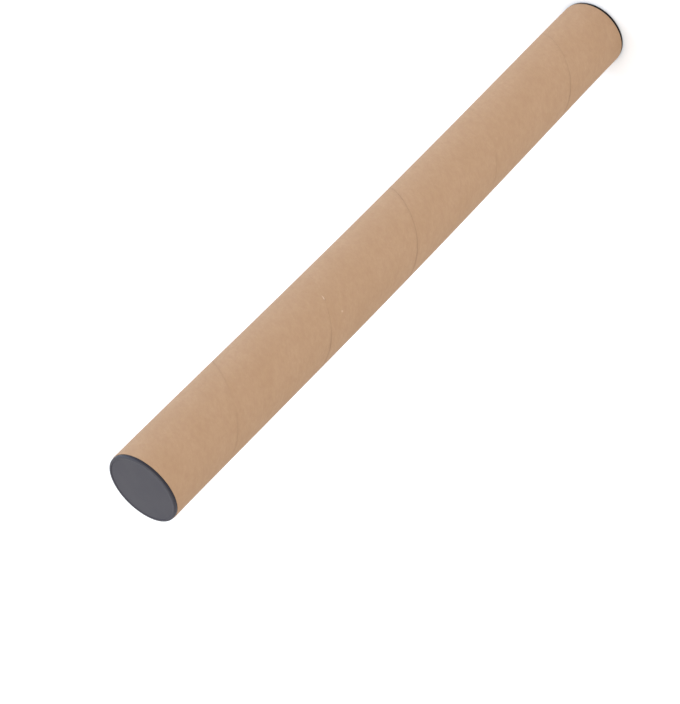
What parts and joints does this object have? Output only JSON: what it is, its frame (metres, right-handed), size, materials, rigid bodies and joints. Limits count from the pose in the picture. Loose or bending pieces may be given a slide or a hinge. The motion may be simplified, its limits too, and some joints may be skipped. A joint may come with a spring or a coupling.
{
  "type": "cardboard mailing tube",
  "caption": "Round mailing tube wound from kraft paper with a spiral seam, closed at each end by a flat plastic cap whose hollow plug pulls out to let rolled sheets in.",
  "frame": {"origin": "centre of the base, on the lower cap's rim where the tube stands", "axes": "+Z along the tube, from the lower cap to the upper one; the seam first crosses the front, -Y, near the base"},
  "size_m": [0.05, 0.05, 0.5048],
  "materials": {
    "kraft_board": "matte",
    "cap_plastic": "satin"
  },
  "bodies": {
    "bottom_cap": {"bottom_cap": "cap_plastic"},
    "tube": {"tube": "kraft_board"},
    "top_cap": {"top_cap": "cap_plastic"}
  },
  "joints": [
    {"name": "tube_off_bottom_cap", "type": "slide", "parent": "bottom_cap", "child": "tube", "axis": [0, 0, 1], "range_m": [0, 0.12]},
    {"name": "top_cap_pull", "type": "slide", "parent": "tube", "child": "top_cap", "axis": [0, 0, 1], "range_m": [0, 0.12]}
  ]
}
